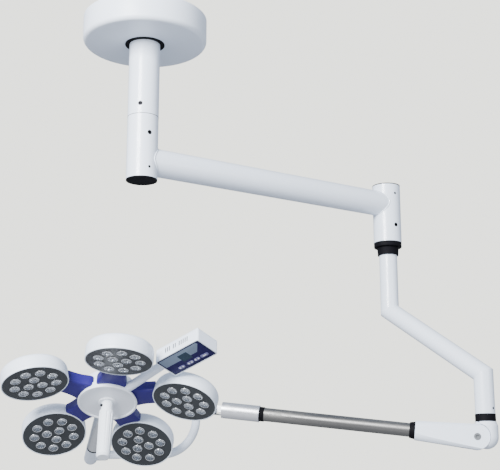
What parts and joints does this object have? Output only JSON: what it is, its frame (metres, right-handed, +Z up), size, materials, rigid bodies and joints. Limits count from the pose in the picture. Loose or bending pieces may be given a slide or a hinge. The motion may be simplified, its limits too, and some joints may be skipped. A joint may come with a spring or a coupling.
{
  "type": "ceiling-mounted operating light",
  "caption": "Ceiling-hung surgical light: column, turning arm, cranked pipe, levelled spring arm, curved yoke and a petal lamp head with a centre handle and a control unit.",
  "frame": {"origin": "centre of the ceiling plate's bolt circle, in the plane of the ceiling, on the column's axis", "axes": "+Z up along the column's axis, +Y away from the front of the lamp as it hangs at rest, +X to the right; the arms fold out to +X and back to the lamp head below the column"},
  "size_m": [1.3793, 0.7103, 1.2686],
  "materials": {
    "white_coat": "satin powder coat",
    "zinc_plate": "zinc plated",
    "black_rubber": "matte",
    "dark_steel": "machined, oiled",
    "spring_steel": "drawn wire",
    "bush_bronze": "sintered, oiled",
    "cover_white": "satin moulded",
    "cast_alloy": "cast, satin",
    "tube_steel": "drawn, satin",
    "sleeve_silver": "satin anodised",
    "dish_white": "satin moulded",
    "arm_blue": "gloss coat",
    "board": "solder mask",
    "lens_clear": "moulded clear optic",
    "face_grey": "fine matte",
    "panel_film": "printed film",
    "key_grey": "satin",
    "handle_white": "autoclavable plastic, satin"
  },
  "bodies": {
    "column": {"ceiling_plate": "zinc_plate", "canopy": "white_coat", "canopy_seal": "black_rubber", "down_tube": "white_coat", "column_spindle": "dark_steel", "column_screws": "dark_steel"},
    "first_arm": {"first_arm": "white_coat", "arm_bushes": "bush_bronze", "hub_caps": "black_rubber", "arm_screws": "dark_steel"},
    "drop_pipe": {"pipe_boot": "black_rubber", "drop_pipe": "white_coat", "pipe_spindle": "dark_steel", "pipe_bushes": "bush_bronze", "pipe_screw": "dark_steel"},
    "knuckle": {"knuckle_ring": "black_rubber", "knuckle": "white_coat", "knuckle_spindle": "dark_steel"},
    "spring_arm": {"rear_cover": "cover_white", "rear_bracket": "cast_alloy", "tilt_pin": "dark_steel", "boom_tube": "tube_steel", "boom_rings": "black_rubber", "boom_sleeve": "sleeve_silver", "balance_spring": "spring_steel", "spring_rod": "dark_steel", "front_pin": "dark_steel"},
    "link": {"levelling_rod": "dark_steel"},
    "front_knuckle": {"front_knuckle": "white_coat"},
    "yoke": {"yoke_tube": "white_coat", "yoke_ring": "black_rubber"},
    "elbow": {"elbow": "white_coat", "elbow_ring": "black_rubber", "stub_spindle": "dark_steel"},
    "head": {"stub_sleeve": "cast_alloy", "stub_ring": "black_rubber", "hub_drum": "cover_white", "hub_dish": "dish_white", "petal_arms": "arm_blue", "led_boards": "board", "lenses": "lens_clear", "petal_casing_1": "cover_white", "petal_casing_2": "cover_white", "petal_casing_3": "cover_white", "petal_casing_4": "cover_white", "petal_casing_5": "cover_white", "petal_face_1": "face_grey", "petal_face_2": "face_grey", "petal_face_3": "face_grey", "petal_face_4": "face_grey", "petal_face_5": "face_grey", "control_stalk": "cover_white", "control_box": "cover_white", "control_panel": "panel_film"},
    "handle": {"handle_grip": "handle_white"},
    "latch": {"latch_button": "black_rubber"},
    "key_1": {"key_1": "key_grey"},
    "key_2": {"key_2": "key_grey"},
    "key_3": {"key_3": "key_grey"},
    "key_4": {"key_4": "key_grey"}
  },
  "joints": [
    {"name": "first_arm_turn", "type": "hinge", "parent": "column", "child": "first_arm", "pos_m": [0, 0, -0.431], "axis": [0, 0, 1], "range_deg": [-165, 165]},
    {"name": "drop_pipe_turn", "type": "hinge", "parent": "first_arm", "child": "drop_pipe", "pos_m": [0.7497, 0.47029, -0.559], "axis": [0, 0, 1], "range_deg": [-165, 165]},
    {"name": "boom_turn", "type": "hinge", "parent": "drop_pipe", "child": "knuckle", "pos_m": [0.98313, 0.22171, -1.14631], "axis": [0, 0, 1], "range_deg": [-165, 165]},
    {"name": "boom_tilt", "type": "hinge", "parent": "knuckle", "child": "spring_arm", "pos_m": [0.95638, 0.22533, -1.18931], "axis": [0.134, 0.991, 0], "range_deg": [-50, 13]},
    {"name": "link_turn", "type": "hinge", "parent": "knuckle", "child": "link", "pos_m": [0.95638, 0.22533, -1.20331], "axis": [0.134, 0.991, 0], "range_deg": [-50, 13]},
    {"name": "front_level", "type": "hinge", "parent": "spring_arm", "child": "front_knuckle", "pos_m": [0.19001, 0.32894, -1.09983], "axis": [0.134, 0.991, 0], "range_deg": [-13, 50]},
    {"name": "yoke_turn", "type": "hinge", "parent": "front_knuckle", "child": "yoke", "pos_m": [0.14541, 0.33497, -1.09983], "axis": [0, 0, 1], "range_deg": [-130, 38]},
    {"name": "elbow_roll", "type": "hinge", "parent": "yoke", "child": "elbow", "pos_m": [-0.17095, 0.39704, -1.23143], "axis": [-0.9813, 0.1925, 0], "range_deg": [-60, 10]},
    {"name": "head_roll", "type": "hinge", "parent": "elbow", "child": "head", "pos_m": [-0.15923, 0.3551, -1.20833], "axis": [0.2378, -0.8508, 0.4686], "range_deg": [-90, 90]},
    {"name": "handle_turn", "type": "hinge", "parent": "head", "child": "handle", "pos_m": [-0.08691, 0.0782, -1.10607], "axis": [-0.0185, 0.4783, 0.878], "range_deg": [-60, 60]},
    {"name": "latch_press", "type": "slide", "parent": "handle", "child": "latch", "axis": [0.7797, 0.5567, -0.2868], "range_m": [0, 0.0025], "stiffness_N_per_m": 900, "springref_m": -0.002},
    {"name": "key_1_press", "type": "slide", "parent": "head", "child": "key_1", "axis": [-0.0185, 0.4783, 0.878], "range_m": [0, 0.001], "stiffness_N_per_m": 1500, "springref_m": -0.001},
    {"name": "key_2_press", "type": "slide", "parent": "head", "child": "key_2", "axis": [-0.0185, 0.4783, 0.878], "range_m": [0, 0.001], "stiffness_N_per_m": 1500, "springref_m": -0.001},
    {"name": "key_3_press", "type": "slide", "parent": "head", "child": "key_3", "axis": [-0.0185, 0.4783, 0.878], "range_m": [0, 0.001], "stiffness_N_per_m": 1500, "springref_m": -0.001},
    {"name": "key_4_press", "type": "slide", "parent": "head", "child": "key_4", "axis": [-0.0185, 0.4783, 0.878], "range_m": [0, 0.001], "stiffness_N_per_m": 1500, "springref_m": -0.001}
  ],
  "couplings": [
    {"joint": "link_turn", "follows": "boom_tilt", "ratio": 1},
    {"joint": "front_level", "follows": "boom_tilt", "ratio": -1}
  ]
}
